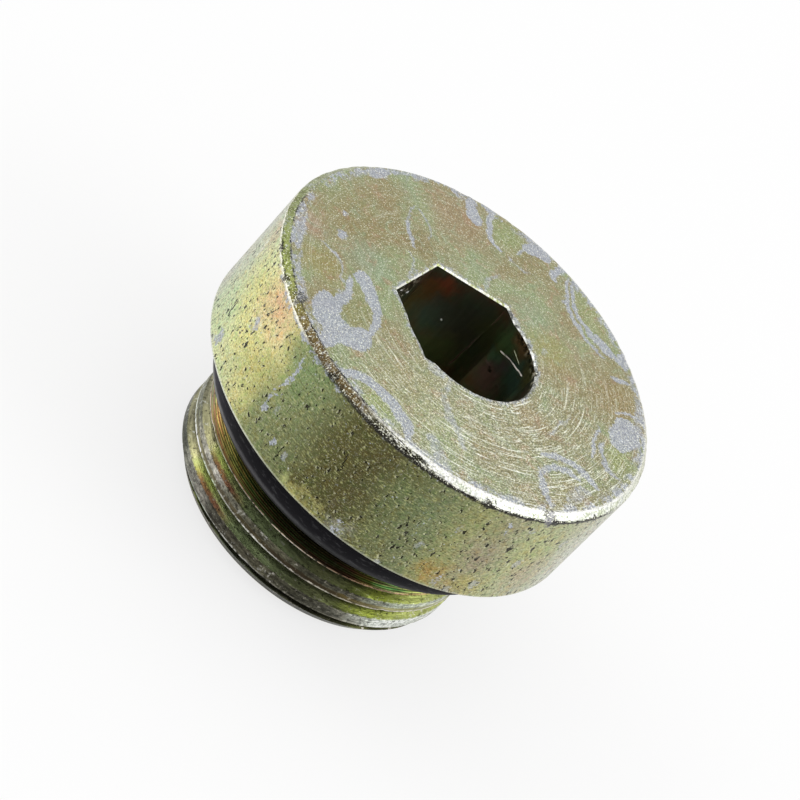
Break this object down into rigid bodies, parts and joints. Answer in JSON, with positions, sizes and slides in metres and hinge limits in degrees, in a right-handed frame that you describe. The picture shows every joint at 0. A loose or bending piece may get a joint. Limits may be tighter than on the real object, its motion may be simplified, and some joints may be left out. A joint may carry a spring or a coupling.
{
  "type": "oil plug",
  "caption": "Round screw plug for an oil drain or filler port: a hexagon socket in the head, a rubber seal ring in the neck and a short external thread.",
  "frame": {"origin": "centre of the thread's end face, on the plug's axis; the plug stands on this face", "axes": "+Z along the plug's axis, out through the head; the hexagon's corners lie at 22 degrees from +X and every 60 degrees on"},
  "size_m": [0.024, 0.024, 0.0156],
  "materials": {
    "plated_steel": "turned steel with iridescent yellow chromate zinc plating, worn and pitted",
    "seal_rubber": "smooth black rubber"
  },
  "bodies": {
    "root": {"plug_body": "plated_steel", "o_ring": "seal_rubber"}
  },
  "joints": []
}
